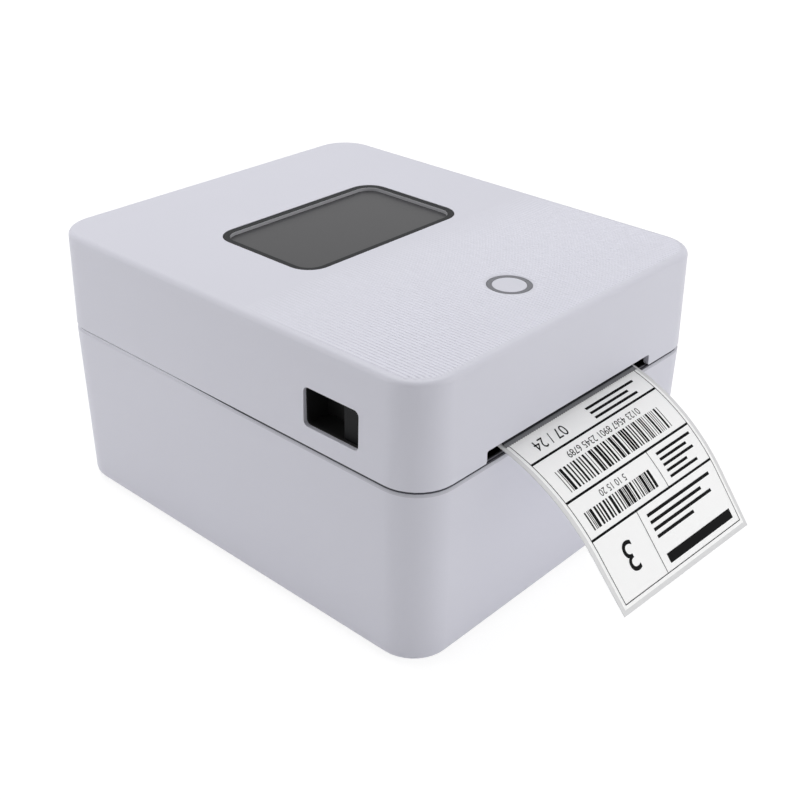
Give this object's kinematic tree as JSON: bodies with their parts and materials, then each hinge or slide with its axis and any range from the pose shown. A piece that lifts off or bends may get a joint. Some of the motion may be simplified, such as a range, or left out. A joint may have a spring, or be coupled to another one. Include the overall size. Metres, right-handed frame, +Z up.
{
  "type": "thermal label printer",
  "caption": "Desktop thermal label printer: pale clamshell case with smoked window, feed button and side latches; lid opens over roll, guides, platen drive and print head.",
  "frame": {"origin": "on the floor, at the middle of the footprint of the whole part, label included", "axes": "+Z up, the label leaves towards -Y, +X to the right seen from the front"},
  "size_m": [0.208, 0.3166, 0.1415],
  "materials": {
    "shell": "fine moulded texture",
    "frame": "moulded",
    "black": "moulded",
    "dark": "satin",
    "blackened": "blackened steel",
    "smoked": "smoked, polished",
    "ring": "translucent light guide",
    "rubber": "matte",
    "steel": "satin",
    "aluminium": "extruded",
    "ceramic": "glazed ceramic",
    "gear": "acetal",
    "circuit": "solder mask",
    "paper": "coated thermal paper",
    "board": "grey cardboard"
  },
  "bodies": {
    "base": {"bottom_plate": "shell", "bottom_screw_front_left": "steel", "bottom_screw_front_right": "steel", "bottom_screw_rear_left": "steel", "bottom_screw_rear_right": "steel", "foot_front_left": "rubber", "foot_front_right": "rubber", "foot_rear_left": "rubber", "foot_rear_right": "rubber", "hinge_pin_left": "steel", "hinge_pin_right": "steel", "label_strip": "paper", "latch_strike_left": "steel", "latch_strike_right": "steel", "lower_case": "shell", "main_board": "circuit", "media_sensor": "dark", "media_tray": "frame", "motor_bracket": "steel", "platen_bush_left": "gear", "platen_bush_right": "gear", "power_jack": "black", "stepper_motor": "steel", "switch_housing": "black", "usb_socket": "steel"},
    "lid": {"button_board": "circuit", "head_bridge": "steel", "head_spring_left": "steel", "head_spring_right": "steel", "inner_cover": "frame", "latch_pocket_left": "black", "latch_pocket_right": "black", "latch_spring_left": "steel", "latch_spring_right": "steel", "led_ring": "ring", "lid_screw_left": "steel", "lid_screw_right": "steel", "tact_switch": "black", "tear_bar": "blackened", "upper_cover": "shell", "window_bezel": "dark", "window_pane": "smoked"},
    "print_head": {"print_head_ceramic": "ceramic", "print_head_heatsink": "aluminium"},
    "feed_button": {"feed_button": "shell"},
    "latch_left": {"latch_left": "dark"},
    "latch_right": {"latch_right": "dark"},
    "roll": {"label_roll": "paper", "roll_core": "board"},
    "platen": {"platen_gear": "gear", "platen_rubber": "rubber", "platen_shaft": "steel"},
    "idler": {"idler_gear": "gear"},
    "motor_pinion": {"motor_pinion": "steel"},
    "guide_left": {"media_guide_left": "frame"},
    "guide_right": {"media_guide_right": "frame"},
    "guide_pinion": {"guide_pinion": "gear"},
    "power_rocker": {"power_rocker": "dark"}
  },
  "joints": [
    {"name": "lid_hinge", "type": "hinge", "parent": "base", "child": "lid", "pos_m": [0, 0.15309, 0.0963], "axis": [-1, 0, 0], "range_deg": [0, 90]},
    {"name": "latch_left_slide", "type": "slide", "parent": "lid", "child": "latch_left", "axis": [0, -1, 0], "range_m": [0, 0.005], "stiffness_N_per_m": 300, "deforming": ["latch_spring_left"]},
    {"name": "latch_right_slide", "type": "slide", "parent": "lid", "child": "latch_right", "axis": [0, -1, 0], "range_m": [0, 0.005], "stiffness_N_per_m": 300, "deforming": ["latch_spring_right"]},
    {"name": "feed_button_press", "type": "slide", "parent": "lid", "child": "feed_button", "axis": [0, 0, -1], "range_m": [0, 0.0008], "stiffness_N_per_m": 800},
    {"name": "print_head_float", "type": "slide", "parent": "lid", "child": "print_head", "axis": [0, -0.1026, 0.9947], "range_m": [0, 0.0015], "stiffness_N_per_m": 1500, "deforming": ["head_spring_left", "head_spring_right"]},
    {"name": "roll_spin", "type": "hinge", "parent": "base", "child": "roll", "pos_m": [0, 0.05609, 0.064], "axis": [1, 0, 0], "continuous": true},
    {"name": "platen_spin", "type": "hinge", "parent": "base", "child": "platen", "pos_m": [0, -0.07191, 0.09], "axis": [1, 0, 0], "continuous": true},
    {"name": "idler_spin", "type": "hinge", "parent": "base", "child": "idler", "pos_m": [0, -0.0637, 0.06745], "axis": [1, 0, 0], "continuous": true},
    {"name": "motor_pinion_spin", "type": "hinge", "parent": "base", "child": "motor_pinion", "pos_m": [0, -0.04499, 0.05665], "axis": [1, 0, 0], "continuous": true},
    {"name": "guide_left_slide", "type": "slide", "parent": "base", "child": "guide_left", "axis": [-1, 0, 0], "range_m": [0, 0.0065]},
    {"name": "guide_right_slide", "type": "slide", "parent": "base", "child": "guide_right", "axis": [1, 0, 0], "range_m": [0, 0.0065]},
    {"name": "guide_pinion_turn", "type": "hinge", "parent": "base", "child": "guide_pinion", "pos_m": [0, 0.05609, 0.0111], "axis": [0, 0, 1], "range_deg": [0, 59]},
    {"name": "power_rocker_tilt", "type": "hinge", "parent": "base", "child": "power_rocker", "pos_m": [0.06, 0.15274, 0.026], "axis": [-1, 0, 0], "range_deg": [0, 20]}
  ],
  "couplings": [
    {"joint": "platen_spin", "follows": "roll_spin", "ratio": 6.5714},
    {"joint": "idler_spin", "follows": "roll_spin", "ratio": -3.2857},
    {"joint": "motor_pinion_spin", "follows": "roll_spin", "ratio": 9.3878},
    {"joint": "guide_right_slide", "follows": "guide_left_slide", "ratio": 1},
    {"joint": "guide_pinion_turn", "follows": "guide_left_slide", "rad_per_m": 156.25}
  ]
}
